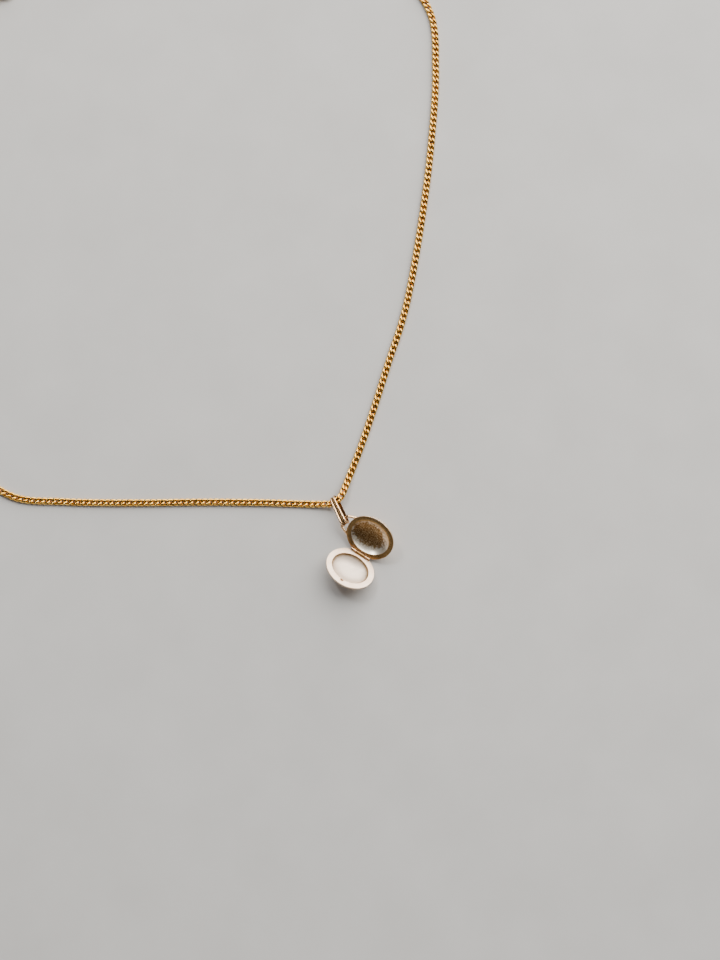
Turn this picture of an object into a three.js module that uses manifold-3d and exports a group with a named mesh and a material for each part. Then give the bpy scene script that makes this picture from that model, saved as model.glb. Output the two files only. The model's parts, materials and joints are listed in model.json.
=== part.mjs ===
// Oval locket on a ribbed bail and a flat curb chain, lying open on a surface. Millimetres, +Z up.
// The origin is the middle of the locket and bail's footprint, on the surface that they lie on.
import * as THREE from 'three';
import { mergeVertices } from 'three/addons/utils/BufferGeometryUtils.js';
import Module from 'manifold-3d';

const wasm = await Module();
wasm.setup();

// ---- driving dimensions ----
const locket = {
  halfLength: 6.70,      // along the hinge
  halfWidth: 5.72,       // across the hinge
  domeDepth: 2.15,       // of each half, below the face where the halves meet
  sheet: 0.30,           // wall of the pressed shells
  faceGap: 0.05,         // each rim's distance from the meeting face
  hingeInset: 0.30,      // of the hinge axis, in from the oval's side
  outerCurve: 2.4,       // power of the dome's outer profile; a higher one is flatter in the middle
  innerCurve: 3,         // the same for the well
  frontTilt: 25.3,       // how far each half rises from the surface, in degrees
  backTilt: 33.6,
  heading: -33,          // of the hinge, seen from above, in degrees
};
const hingeToCentre = locket.halfWidth - locket.hingeInset;
const rim = { thickness: 0.35, frontWidth: 1.46, backWidth: 1.25 };
const solderGap = 0.03;
const runningGap = 0.04;

const hinge = {
  radius: 0.42,
  pinRadius: 0.16,
  outerKnuckle: 1.60,    // lengths of the two outer knuckles and of the middle one
  middleKnuckle: 2.45,
  knuckleGap: 0.06,
};
const notch = { edge: 0.62, margin: 0.16, leafThickness: 0.30 };
const lip = { chord: 4.8, thickness: 0.20, rise: 0.35, drop: 0.55, clearance: 0.08 };
const catchPip = { radius: 0.20, notchRadius: 0.34, set: 0.12 };   // set: back from the well's edge

const bow = {
  wire: 0.72,            // its diameter
  reach: 1.50,           // from the oval's end to the bar's middle line
  footSpan: 5.50,
  footInset: 0.51,       // how far the middle line runs on inside the oval's edge
  barSpan: 3.40,
  cornerRadius: 0.45,
  below: 0.42,           // under the meeting face
};
const bail = {
  strap: 0.35,
  topWidth: 1.45,
  bottomWidth: 1.85,
  chainPlay: -0.02,      // eye round the chain, over half of its width; it lies aslant in the eye
  bowPlay: 0.47,         // eye round the bow, over half of its wire
  eyeToBow: 6.56,        // between the centres of the two eyes
  heading: -66.8,        // from the chain to the bow, seen from above
  roll: 28,              // its right edge lifts by this much
  eyeLift: 0.21,         // of the eye's outside above the surface; its rolled edge takes most of it
};

const chain = { width: 2.0, thickness: 1.0, chamfer: 0.45, lift: 0.04, stepsPerPoint: 2, endGap: 0.30 };
const topEye = chain.width / 2 + bail.chainPlay;        // inner radius round the chain
const bottomEye = bow.wire / 2 + bail.bowPlay;          // inner radius round the bow

// Middle line of each arm, from the bail to the clasp.
const leftArm = [
  [-6.35, 11.19, 1.54], [-7.26, 10.70, 1.38], [-8.43, 10.61, 1.18], [-10.64, 10.61, 0.80],
  [-13.04, 10.65, 0.56], [-15.44, 10.72, 0.50], [-26.04, 11.07, 0.50], [-42.54, 11.20, 0.50],
  [-60.24, 11.01, 0.50], [-78.24, 11.31, 0.50], [-92.24, 12.61, 0.50], [-100.24, 18.41, 0.50],
  [-103.84, 28.41, 0.50], [-104.44, 44.41, 0.50], [-103.84, 62.41, 0.50], [-103.94, 82.41, 0.50],
  [-104.84, 102.41, 0.50], [-105.24, 120.41, 0.50], [-104.84, 136.41, 0.50], [-102.84, 145.01, 0.50],
  [-101.14, 147.41, 0.50],
];
const rightArm = [
  [-5.98, 11.45, 1.73], [-5.28, 12.15, 1.84], [-4.70, 13.18, 1.84], [-4.22, 14.45, 1.50],
  [-3.54, 16.21, 1.05], [-2.57, 18.78, 0.60], [-0.06, 25.31, 0.50], [3.58, 36.11, 0.50],
  [7.71, 49.31, 0.50], [11.26, 60.21, 0.50], [13.36, 69.01, 0.50], [16.96, 90.41, 0.50],
  [19.36, 110.41, 0.50], [20.56, 130.41, 0.50], [19.16, 146.41, 0.50], [11.76, 156.21, 0.50],
  [-1.24, 159.81, 0.50], [-20.24, 159.61, 0.50], [-42.24, 158.81, 0.50], [-62.24, 159.61, 0.50],
  [-80.24, 160.81, 0.50], [-89.64, 159.81, 0.50], [-93.44, 157.31, 0.50],
];
// The bail's eye round the chain stands just clear of the surface.
const eyeCentre = new THREE.Vector3(-6.642, 11.372, topEye + bail.strap + bail.eyeLift);

const clasp = {
  ringRadius: 2.40,      // of the tube's middle line
  tubeRadius: 0.62,
  boreRadius: 0.42,
  mouthAt: 62,           // middle of the mouth; every clasp angle is in degrees
  mouth: 60,             // how much of the ring the bolt closes
  slotInset: 5,          // from the mouth to the knob's slot
  boltRadius: 0.36,
  boltTail: 30,          // how much of the bolt stays in the tube behind the mouth
  boltNose: 6,           // how far the nose reaches into the far end
  travel: 40,
  knobRadius: 0.26,
  knobHeight: 1.35,      // from the tube's middle line
  springWire: 0.06,
  springTurns: 10,
  springSolid: 32,       // room left for the spring when the bolt is drawn right back
  springEndGap: 3,
  seatLength: 6,
};
const fixedLoop = { radius: 0.80, wire: 0.22 };
const jumpRing = { radius: 1.15, wire: 0.22 };

// How finely the round shapes are cut up.
const ROUND = 48;
const WIRE_SIDES = 8;
const TUBE_SIDES = 10;
const SPRING_SIDES = 5;
const STEPS = { outerDome: 9, well: 8, lip: 12, bow: 28, claspTube: 44, bolt: 22, springTurn: 9, ring: 24 };
const TOOL_MARGIN = 1;   // how far a cutting tool runs past what it cuts

// ---- finishes ----
function gold(name, color, roughness) {
  const material = new THREE.MeshStandardMaterial({ color, roughness, metalness: 1 });
  material.name = name;
  return material;
}
const roseGold = () => gold('rose_gold', 0xd9ab7c, 0.28);
const paleGold = () => gold('pale_gold', 0xe6c3a6, 0.35);
const yellowGold = () => gold('yellow_gold', 0xd6a436, 0.25);
const steel = () => gold('spring_steel', 0xb8b8b4, 0.30);

// ---- helpers ----
function solid(geometry) {
  const bare = geometry.clone();
  bare.deleteAttribute('normal');
  bare.deleteAttribute('uv');
  const merged = mergeVertices(bare, 1e-5);
  const count = merged.index.count;
  const triVerts = new Uint32Array(count);
  for (let i = 0; i < count; i += 1) {
    triVerts[i] = merged.index.getX(i);
  }
  const vertProperties = new Float32Array(merged.attributes.position.array);
  return new wasm.Manifold(new wasm.Mesh({ numProp: 3, vertProperties, triVerts }));
}

function geometryOf(manifold) {
  const mesh = manifold.getMesh();
  const geometry = new THREE.BufferGeometry();
  geometry.setAttribute('position', new THREE.Float32BufferAttribute(mesh.vertProperties, 3));
  geometry.setIndex(new THREE.BufferAttribute(new Uint32Array(mesh.triVerts), 1));
  geometry.computeVertexNormals();
  return geometry;
}

function cut(base, ...tools) {
  return geometryOf(tools.reduce((left, tool) => left.subtract(solid(tool)), solid(base)));
}

function join(first, ...others) {
  return geometryOf(others.reduce((sum, item) => sum.add(solid(item)), solid(first)));
}

function named(name, geometry, material) {
  const mesh = new THREE.Mesh(geometry, material);
  mesh.name = name;
  return mesh;
}

function boxBetween(low, high) {
  const size = high.map((value, axis) => value - low[axis]);
  const geometry = new THREE.BoxGeometry(...size);
  return geometry.translate(...low.map((value, axis) => value + size[axis] / 2));
}

// An oval outline, offset outwards from the locket's own edge, from one angle to another.
function ovalPoints(offset, from = 0, to = Math.PI * 2, steps = ROUND) {
  const points = [];
  for (let i = 0; i <= steps; i += 1) {
    const angle = from + (to - from) * i / steps;
    points.push(new THREE.Vector2(
      (locket.halfLength + offset) * Math.cos(angle),
      hingeToCentre + (locket.halfWidth + offset) * Math.sin(angle),
    ));
  }
  return points;
}

function extrude(shape, low, high, curveSegments = 12) {
  const settings = { depth: high - low, bevelEnabled: false, curveSegments };
  const geometry = new THREE.ExtrudeGeometry(shape, settings);
  return geometry.translate(0, 0, low);
}

function wireSection(radius, sides = WIRE_SIDES) {
  const points = [];
  for (let i = 0; i < sides; i += 1) {
    const angle = Math.PI * 2 * (i + 0.5) / sides;
    points.push(new THREE.Vector2(radius * Math.cos(angle), radius * Math.sin(angle)));
  }
  return new THREE.Shape(points);
}

const sweep = (section, path, steps) => new THREE.ExtrudeGeometry(section, {
  extrudePath: path, steps, bevelEnabled: false,
});

// ---- the locket's halves; local X is the hinge, Y points away from it, Z is the open face's way ----
const rimTop = -locket.faceGap;
const rimBottom = rimTop - rim.thickness;
const flangeTop = rimBottom - solderGap;
const flangeBottom = flangeTop - locket.sheet;

const barrelLength = 2 * hinge.outerKnuckle + hinge.middleKnuckle + 2 * hinge.knuckleGap;
const notchHalf = barrelLength / 2 + notch.margin;

// Turns a round dish into an oval one with a rim of the same width all the way round.
function makeOval(geometry, rimWidth) {
  const narrowing = locket.halfLength - locket.halfWidth;
  const inner = locket.halfLength - rimWidth;
  const position = geometry.attributes.position;
  for (let i = 0; i < position.count; i += 1) {
    const x = position.getX(i);
    const y = position.getY(i);
    const radius = Math.hypot(x, y);
    const share = radius < inner ? (inner - narrowing) / inner : (radius - narrowing) / radius;
    position.setXY(i, x, y * share);
  }
  return geometry;
}

const notchTool = () => boxBetween(
  [-notchHalf, -locket.hingeInset - TOOL_MARGIN, -locket.domeDepth - TOOL_MARGIN],
  [notchHalf, notch.edge, TOOL_MARGIN],
);

function shell(rimWidth) {
  const edge = locket.halfLength;
  const inner = edge - rimWidth;
  const floorDepth = locket.domeDepth - locket.sheet;
  const profile = [];
  for (let i = 0; i <= STEPS.outerDome; i += 1) {
    const radius = edge * i / STEPS.outerDome;
    const rise = (i / STEPS.outerDome) ** locket.outerCurve;
    profile.push(new THREE.Vector2(radius, -locket.domeDepth + (locket.domeDepth + flangeBottom) * rise));
  }
  profile.push(new THREE.Vector2(edge, flangeTop));
  for (let i = STEPS.well; i >= 0; i -= 1) {
    const radius = inner * i / STEPS.well;
    const rise = (i / STEPS.well) ** locket.innerCurve;
    profile.push(new THREE.Vector2(radius, -floorDepth + (floorDepth + flangeTop) * rise));
  }
  const dish = new THREE.LatheGeometry(profile, ROUND).rotateX(Math.PI / 2);
  const oval = makeOval(dish, rimWidth).translate(0, hingeToCentre, 0);
  return cut(oval, notchTool());
}

function rimPlate(rimWidth, pipNotch) {
  const shape = new THREE.Shape(ovalPoints(0));
  shape.holes.push(new THREE.Path(ovalPoints(-rimWidth).reverse()));
  const tools = [notchTool()];
  if (pipNotch) {
    const depth = 2 * (rim.thickness + TOOL_MARGIN);
    const bite = new THREE.CylinderGeometry(catchPip.notchRadius, catchPip.notchRadius, depth, 16);
    tools.push(bite.rotateX(Math.PI / 2).translate(0, pipPlace(rimWidth), rimBottom));
  }
  return cut(extrude(shape, rimBottom, rimTop), ...tools);
}

const pipPlace = (rimWidth) => hingeToCentre + locket.halfWidth - rimWidth;

function pip(rimWidth) {
  const bead = new THREE.SphereGeometry(catchPip.radius, 12, 8);
  const rise = flangeTop + catchPip.radius + solderGap;
  return bead.translate(0, pipPlace(rimWidth) + catchPip.set, rise);
}

function knuckleSection() {
  const shape = new THREE.Shape();
  shape.absarc(0, 0, hinge.radius, 0, Math.PI * 2);
  const bore = new THREE.Path();
  bore.absarc(0, 0, hinge.pinRadius + runningGap, 0, Math.PI * 2, true);
  shape.holes.push(bore);
  return shape;
}

// A knuckle from one place on the hinge to another, with the leaf that is soldered to its half.
function knuckle(from, to) {
  const ring = extrude(knuckleSection(), from, to, 8).rotateX(Math.PI / 2).rotateZ(Math.PI / 2);
  const leaf = boxBetween(
    [from, hinge.pinRadius + 2 * runningGap, -hinge.radius],
    [to, notch.edge - solderGap, -hinge.radius + notch.leafThickness],
  );
  return join(ring, leaf);
}

function snapLip() {
  const half = Math.acos(lip.chord / 2 / locket.halfLength);
  const near = ovalPoints(lip.clearance, half, Math.PI - half, STEPS.lip);
  const far = ovalPoints(lip.clearance + lip.thickness, Math.PI - half, half, STEPS.lip);
  return extrude(new THREE.Shape([...near, ...far]), -lip.drop, lip.rise);
}

// A wire path of straight runs with rounded corners.
function roundedPath(points, radius) {
  const path = new THREE.CurvePath();
  let start = points[0];
  for (let i = 1; i < points.length - 1; i += 1) {
    const before = points[i].clone().sub(points[i - 1]).setLength(radius);
    const after = points[i + 1].clone().sub(points[i]).setLength(radius);
    const enter = points[i].clone().sub(before);
    const leave = points[i].clone().add(after);
    path.add(new THREE.LineCurve3(start, enter));
    path.add(new THREE.QuadraticBezierCurve3(enter, points[i], leave));
    start = leave;
  }
  path.add(new THREE.LineCurve3(start, points[points.length - 1]));
  return path;
}

const barX = -(locket.halfLength + bow.reach);

function bowWire() {
  const edgeX = locket.halfLength * Math.sqrt(1 - (bow.footSpan / 2 / locket.halfWidth) ** 2);
  const footX = bow.footInset - edgeX;
  const y = hingeToCentre;
  const path = roundedPath([
    new THREE.Vector3(footX, y - bow.footSpan / 2, -bow.below),
    new THREE.Vector3(barX, y - bow.barSpan / 2, -bow.below),
    new THREE.Vector3(barX, y + bow.barSpan / 2, -bow.below),
    new THREE.Vector3(footX, y + bow.footSpan / 2, -bow.below),
  ], bow.cornerRadius);
  const edge = extrude(new THREE.Shape(ovalPoints(solderGap)), -locket.domeDepth, TOOL_MARGIN);
  return cut(sweep(wireSection(bow.wire / 2), path, STEPS.bow), edge);
}

function backHalf() {
  const half = new THREE.Group();
  const middle = hinge.middleKnuckle / 2 + hinge.knuckleGap;
  const end = middle + hinge.outerKnuckle;
  const pin = new THREE.CylinderGeometry(hinge.pinRadius, hinge.pinRadius, 2 * end, 12);
  pin.rotateZ(Math.PI / 2);
  half.add(
    named('back_shell', shell(rim.backWidth), roseGold()),
    named('back_rim', rimPlate(rim.backWidth, false), roseGold()),
    named('bow', bowWire(), roseGold()),
    named('snap_lip', snapLip(), roseGold()),
    named('hinge_knuckle_upper', knuckle(-end, -middle), roseGold()),
    named('hinge_knuckle_lower', knuckle(middle, end), roseGold()),
    named('hinge_pin', pin, roseGold()),
  );
  return half;
}

function frontHalf() {
  const half = new THREE.Group();
  const end = hinge.middleKnuckle / 2;
  half.add(
    named('front_shell', shell(rim.frontWidth), paleGold()),
    named('front_rim', rimPlate(rim.frontWidth, true), paleGold()),
    named('hinge_knuckle_front', knuckle(-end, end), paleGold()),
    named('catch_pip', pip(rim.frontWidth), roseGold()),
  );
  return half;
}

// Where a half stands: local X along the hinge, local Y out from it and up by the tilt.
function halfMatrix(headingDegrees, tiltDegrees) {
  const heading = THREE.MathUtils.degToRad(headingDegrees);
  const tilt = THREE.MathUtils.degToRad(tiltDegrees);
  const along = new THREE.Vector3(Math.cos(heading), Math.sin(heading), 0);
  const level = new THREE.Vector3(-Math.sin(heading), Math.cos(heading), 0);
  const out = level.multiplyScalar(Math.cos(tilt)).add(new THREE.Vector3(0, 0, Math.sin(tilt)));
  const face = new THREE.Vector3().crossVectors(along, out);
  return new THREE.Matrix4().makeBasis(along, out, face);
}

function openLocket() {
  const halves = new THREE.Group();
  const back = backHalf();
  back.applyMatrix4(halfMatrix(locket.heading, locket.backTilt));
  const front = frontHalf();
  front.applyMatrix4(halfMatrix(locket.heading + 180, locket.frontTilt));
  halves.add(back, front);
  halves.position.z = -new THREE.Box3().setFromObject(halves, true).min.z;
  halves.updateMatrixWorld(true);
  const bar = new THREE.Vector3(barX, hingeToCentre, -bow.below).applyMatrix4(back.matrixWorld);
  return { halves, bar };
}

// ---- the bail: local X runs from the chain's eye to the bow's, Y across the strap, Z out of its face ----
function beltOutline(Path, topRadius, bottomRadius) {
  const lean = Math.asin((topRadius - bottomRadius) / bail.eyeToBow);
  const outline = new Path();
  outline.absarc(0, 0, topRadius, Math.PI / 2 - lean, 3 * Math.PI / 2 + lean, false);
  outline.absarc(bail.eyeToBow, 0, bottomRadius, -Math.PI / 2 + lean, Math.PI / 2 - lean, false);
  return outline;
}

function bailStrap() {
  const shape = beltOutline(THREE.Shape, topEye + bail.strap, bottomEye + bail.strap);
  shape.holes.push(beltOutline(THREE.Path, topEye, bottomEye));
  const geometry = extrude(shape, -0.5, 0.5, 10).rotateX(Math.PI / 2);
  const position = geometry.attributes.position;
  for (let i = 0; i < position.count; i += 1) {
    const share = THREE.MathUtils.clamp(position.getX(i) / bail.eyeToBow, 0, 1);
    position.setY(i, position.getY(i) * THREE.MathUtils.lerp(bail.topWidth, bail.bottomWidth, share));
  }
  geometry.computeVertexNormals();
  return geometry;
}

function bailMatrix(rise) {
  const heading = THREE.MathUtils.degToRad(bail.heading);
  const climb = Math.asin(rise / bail.eyeToBow);
  const roll = THREE.MathUtils.degToRad(bail.roll);
  const along = new THREE.Vector3(
    Math.cos(heading) * Math.cos(climb), Math.sin(heading) * Math.cos(climb), Math.sin(climb),
  );
  const level = new THREE.Vector3(-Math.sin(heading), Math.cos(heading), 0);
  const face = new THREE.Vector3().crossVectors(along, level);
  const across = level.multiplyScalar(Math.cos(roll)).addScaledVector(face, Math.sin(roll));
  const out = new THREE.Vector3().crossVectors(along, across);
  return new THREE.Matrix4().makeBasis(along, across, out);
}

// ---- the chain ----
function chainSection() {
  const t = chain.thickness / 2;
  const w = chain.width / 2;
  const flat = chain.chamfer;
  const corners = [[t, w * flat], [t * flat, w], [-t * flat, w], [-t, w * flat]];
  const half = corners.map(([x, y]) => new THREE.Vector2(x, y));
  const other = corners.map(([x, y]) => new THREE.Vector2(-x, -y));
  return new THREE.Shape([...half, ...other]);
}

// A smooth line through an arm's points that never dips into the surface.
class LyingCurve extends THREE.CatmullRomCurve3 {
  getPoint(t, target = new THREE.Vector3()) {
    super.getPoint(t, target);
    target.z = Math.max(target.z, chain.thickness / 2 + chain.lift);
    return target;
  }

  // Sections follow the points, which stand closer together where the chain bends.
  getUtoTmapping(u) {
    return u;
  }
}

function chainArm(points) {
  const curve = new LyingCurve(points.map((point) => new THREE.Vector3(...point)));
  return sweep(chainSection(), curve, chain.stepsPerPoint * (points.length - 1));
}

// ---- the clasp: a ring of tube with a sprung bolt across its mouth ----
class ArcCurve extends THREE.Curve {
  constructor(radius, from, to) {
    super();
    this.radius = radius;
    this.from = THREE.MathUtils.degToRad(from);
    this.to = THREE.MathUtils.degToRad(to);
  }

  getPoint(t, target = new THREE.Vector3()) {
    const angle = this.from + (this.to - this.from) * t;
    return target.set(this.radius * Math.cos(angle), this.radius * Math.sin(angle), 0);
  }
}

// Angles in degrees round the ring: 0 is its far end, 180 is where the fixed loop is soldered.
const tubeStart = clasp.mouthAt + clasp.mouth / 2;
const tubeEnd = 360 + clasp.mouthAt - clasp.mouth / 2;
const slotStart = tubeStart + clasp.slotInset;
const knobRoom = THREE.MathUtils.radToDeg((clasp.knobRadius + runningGap) / clasp.ringRadius);
const knobAngle = slotStart + knobRoom;
const slotEnd = knobAngle + clasp.travel + knobRoom;
const tailEnd = tubeStart + clasp.boltTail;
const seatStart = tailEnd + clasp.travel + clasp.springSolid;

function ringSector(inner, outer, from, to, halfHeight) {
  const start = THREE.MathUtils.degToRad(from);
  const end = THREE.MathUtils.degToRad(to);
  const shape = new THREE.Shape();
  shape.absarc(0, 0, outer, start, end, false);
  shape.absarc(0, 0, inner, end, start, true);
  return extrude(shape, -halfHeight, halfHeight);
}

const arcRod = (radius, from, to, steps) => sweep(
  wireSection(radius, TUBE_SIDES), new ArcCurve(clasp.ringRadius, from, to), steps,
);

function claspTube() {
  const section = wireSection(clasp.tubeRadius, TUBE_SIDES);
  section.holes.push(new THREE.Path(wireSection(clasp.boreRadius, TUBE_SIDES).getPoints()));
  const tube = sweep(section, new ArcCurve(clasp.ringRadius, tubeStart, tubeEnd), STEPS.claspTube);
  const middle = (clasp.tubeRadius + clasp.boreRadius) / 2;
  const seat = arcRod(middle, seatStart, seatStart + clasp.seatLength, 2);
  const slotHalf = clasp.knobRadius + runningGap;
  const far = clasp.ringRadius + 2 * clasp.tubeRadius;
  return cut(join(tube, seat), ringSector(clasp.ringRadius, far, slotStart, slotEnd, slotHalf));
}

function claspBolt() {
  const rod = arcRod(clasp.boltRadius, tubeStart - clasp.mouth - clasp.boltNose, tailEnd, STEPS.bolt);
  const knob = new THREE.CylinderGeometry(clasp.knobRadius, clasp.knobRadius, clasp.knobHeight, TUBE_SIDES);
  knob.rotateZ(-Math.PI / 2).translate(clasp.ringRadius + clasp.knobHeight / 2, 0, 0);
  knob.rotateZ(THREE.MathUtils.degToRad(knobAngle));
  return join(rod, knob);
}

class CoilOnArc extends THREE.Curve {
  getPoint(t, target = new THREE.Vector3()) {
    const from = THREE.MathUtils.degToRad(tailEnd + clasp.springEndGap);
    const to = THREE.MathUtils.degToRad(seatStart - clasp.springEndGap);
    const angle = from + (to - from) * t;
    const turn = Math.PI * 2 * clasp.springTurns * t;
    const coil = clasp.boreRadius - clasp.springWire - 2 * runningGap;
    const radius = clasp.ringRadius + coil * Math.cos(turn);
    return target.set(radius * Math.cos(angle), radius * Math.sin(angle), coil * Math.sin(turn));
  }
}

const claspSpring = () => sweep(
  wireSection(clasp.springWire, SPRING_SIDES), new CoilOnArc(), clasp.springTurns * STEPS.springTurn,
);

const wireRing = (size) => new THREE.TorusGeometry(size.radius, size.wire, WIRE_SIDES, STEPS.ring);

// Each ring stands on the surface round what it links, and the clasp lies level on their lower wires.
function claspAssembly() {
  const ringHeight = jumpRing.radius + jumpRing.wire;
  const claspHeight = 2 * jumpRing.wire + runningGap + clasp.tubeRadius;
  const ringHole = jumpRing.radius - jumpRing.wire - runningGap;
  const drop = ringHeight - claspHeight;
  const firstRing = chain.endGap + ringHeight;
  const loopWireAt = firstRing + Math.sqrt((ringHole - fixedLoop.wire) ** 2 - drop ** 2);
  const loopAt = loopWireAt + fixedLoop.radius;
  const loopToRing = fixedLoop.radius + fixedLoop.wire + solderGap + clasp.tubeRadius + clasp.ringRadius;
  const ringAt = loopAt + loopToRing;
  const farRing = ringAt + clasp.ringRadius + Math.sqrt((ringHole - clasp.tubeRadius) ** 2 - drop ** 2);

  const assembly = new THREE.Group();
  const lying = (mesh, at) => {
    mesh.position.set(at, 0, claspHeight);
    assembly.add(mesh);
  };
  const standing = (mesh, at) => {
    mesh.position.set(at, 0, ringHeight);
    mesh.rotation.x = Math.PI / 2;
    assembly.add(mesh);
  };
  standing(named('end_ring_left', wireRing(jumpRing), yellowGold()), firstRing);
  lying(named('clasp_loop', wireRing(fixedLoop), yellowGold()), loopAt);
  lying(named('clasp_ring', claspTube(), yellowGold()), ringAt);
  lying(named('clasp_bolt', claspBolt(), yellowGold()), ringAt);
  lying(named('clasp_spring', claspSpring(), steel()), ringAt);
  standing(named('end_ring_right', wireRing(jumpRing), yellowGold()), farRing);
  return assembly;
}

const group = new THREE.Group();
const { halves, bar } = openLocket();

// The bail rises from its eye on the chain to the bow's bar, and the locket follows it.
const strap = named('bail', bailStrap(), roseGold());
strap.applyMatrix4(bailMatrix(bar.z - eyeCentre.z).setPosition(eyeCentre));
const bowPlace = new THREE.Vector3(bail.eyeToBow, 0, 0).applyMatrix4(strap.matrix);
halves.position.x = bowPlace.x - bar.x;
halves.position.y = bowPlace.y - bar.y;

group.add(halves, strap);

// The clasp carries on from the left arm's end, in the arm's own direction.
const armEnd = new THREE.Vector3(...leftArm.at(-1));
const armBefore = new THREE.Vector3(...leftArm.at(-2));
const assembly = claspAssembly();
assembly.position.set(armEnd.x, armEnd.y, 0);
assembly.rotation.z = Math.atan2(armEnd.y - armBefore.y, armEnd.x - armBefore.x);

group.add(
  named('chain_left', chainArm(leftArm), yellowGold()),
  named('chain_right', chainArm(rightArm), yellowGold()),
  assembly,
);

export default group;
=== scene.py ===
"""Oval locket on a ribbed bail and a flat curb chain: its looks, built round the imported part.

Shapes are worked out in millimetres in each piece's own frame and put in place in metres.
"""

import json
import math
from itertools import product

import bmesh
import bpy
from mathutils import Matrix, Vector


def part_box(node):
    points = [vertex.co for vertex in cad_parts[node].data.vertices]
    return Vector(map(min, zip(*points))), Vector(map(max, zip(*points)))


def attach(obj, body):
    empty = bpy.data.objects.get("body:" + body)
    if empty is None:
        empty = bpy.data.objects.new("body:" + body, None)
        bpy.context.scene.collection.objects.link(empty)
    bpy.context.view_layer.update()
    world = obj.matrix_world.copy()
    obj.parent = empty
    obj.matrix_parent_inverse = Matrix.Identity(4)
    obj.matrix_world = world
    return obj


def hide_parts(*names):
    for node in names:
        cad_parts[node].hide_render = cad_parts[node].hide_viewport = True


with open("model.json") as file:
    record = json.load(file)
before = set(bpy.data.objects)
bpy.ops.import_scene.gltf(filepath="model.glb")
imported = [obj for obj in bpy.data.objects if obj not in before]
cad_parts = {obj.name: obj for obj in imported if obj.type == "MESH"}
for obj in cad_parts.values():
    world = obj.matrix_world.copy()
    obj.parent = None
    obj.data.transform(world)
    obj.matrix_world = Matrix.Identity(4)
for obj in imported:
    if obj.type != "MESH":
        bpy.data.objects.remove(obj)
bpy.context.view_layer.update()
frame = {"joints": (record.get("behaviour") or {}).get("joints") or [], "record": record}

MM = 0.001
JOINTS = {joint["name"]: joint for joint in frame["joints"]}
MOUNTS = {mount["name"]: mount for mount in frame["record"]["mounts"]}

# ---- driving dimensions, in millimetres and degrees ----
HALF_LENGTH = 6.70         # of the oval, along the hinge
HALF_WIDTH = 5.72
DOME_DEPTH = 2.15
SHEET = 0.30
FACE_GAP = 0.05
HINGE_INSET = 0.30
HINGE_TO_CENTRE = HALF_WIDTH - HINGE_INSET
OUTER_CURVE = 2.4
INNER_CURVE = 3.0
RIM_THICKNESS = 0.35
FRONT_RIM_WIDTH = 1.46
BACK_RIM_WIDTH = 1.25
SOLDER_GAP = 0.03
RUNNING_GAP = 0.04
RIM_TOP = -FACE_GAP
RIM_BOTTOM = RIM_TOP - RIM_THICKNESS
FLANGE_TOP = RIM_BOTTOM - SOLDER_GAP
FLANGE_BOTTOM = FLANGE_TOP - SHEET

KNUCKLE_RADIUS = 0.42
PIN_RADIUS = 0.16
OUTER_KNUCKLE = 1.60
MIDDLE_KNUCKLE = 2.45
KNUCKLE_GAP = 0.06
LEAF_THICKNESS = 0.30
NOTCH_EDGE = 0.62
NOTCH_MARGIN = 0.16
NOTCH_HALF = OUTER_KNUCKLE + MIDDLE_KNUCKLE / 2 + KNUCKLE_GAP + NOTCH_MARGIN

LIP_CHORD = 4.8
LIP_THICKNESS = 0.20
LIP_RISE = 0.35
LIP_DROP = 0.55
LIP_CLEARANCE = 0.08
PIP_RADIUS = 0.20
PIP_NOTCH = 0.34
PIP_SET = 0.12
PIP_AT = Vector((          # in the front half's own frame
    0,
    HINGE_TO_CENTRE + HALF_WIDTH - FRONT_RIM_WIDTH + PIP_SET,
    FLANGE_TOP + PIP_RADIUS + SOLDER_GAP,
))

BOW_WIRE = 0.72
BOW_REACH = 1.50
BOW_FOOT_SPAN = 5.50
BOW_BAR_SPAN = 3.40
BOW_CORNER = 0.45
BOW_BELOW = 0.42
BOW_TUCK = 0.12            # how far the feet run on under the rim's edge

BAIL_STRAP = 0.35
BAIL_TOP_WIDTH = 1.45
BAIL_BOTTOM_WIDTH = 1.85
BAIL_TOP_EYE = 0.98
BAIL_BOTTOM_EYE = 0.83
BAIL_LENGTH = 6.56         # between the eyes' centres
BAIL_HEADING = -66.8
BAIL_CLIMB = 16.69
BAIL_ROLL = 28
RIDGE_AT = 0.70            # middle of each ridge and its half width, as shares of half the strap
RIDGE_HALF = 0.30
RIDGE_RISE = 0.58          # shares of the strap's thickness: the ridges over the grooves,
BAND_RISE = 0.16           # the low band between the grooves,
GROOVE_FLOOR = 0.42        # and what is left under them
BAND_HALF = 0.14
GROOVE_MARGIN = 0.04       # how far the painted shade runs up the ridges

CHAIN_WIDTH = 2.0
CHAIN_THICKNESS = 1.0
CHAIN_LIFT = 0.04
LINK_PITCH = 1.52
LINK_WIRE = 0.68
LINK_TWIST = 0.32
LINK_FILED = 0.98          # thickness left once the links' faces are filed flat

RING_RADIUS = 2.40         # the bolt ring's tube, along its middle line
TUBE_RADIUS = 0.62
BORE_RADIUS = 0.42
MOUTH_AT = 62
MOUTH = 60
SLOT_INSET = 5
BOLT_RADIUS = 0.36
BOLT_TAIL = 30
BOLT_NOSE = 6
BOLT_TRAVEL = 40
KNOB_RADIUS = 0.26
KNOB_HEIGHT = 1.35
SPRING_WIRE = 0.06
SPRING_TURNS = 10
SPRING_SOLID = 32
SPRING_END_GAP = 3
SEAT_LENGTH = 6
LOOP_RADIUS = 0.80
JUMP_RADIUS = 1.15
RING_WIRE = 0.22

SHARP_EDGE = math.radians(35)

# ---- the camera ----
CAMERA_DISTANCE = 1.0
CAMERA_TILT = math.radians(10)
CAMERA_AIM = Vector((0.02, 17.24, 0.0)) * MM
CAMERA_LENS = 140.6


def link_to_scene(obj):
    bpy.context.scene.collection.objects.link(obj)
    return obj


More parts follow.
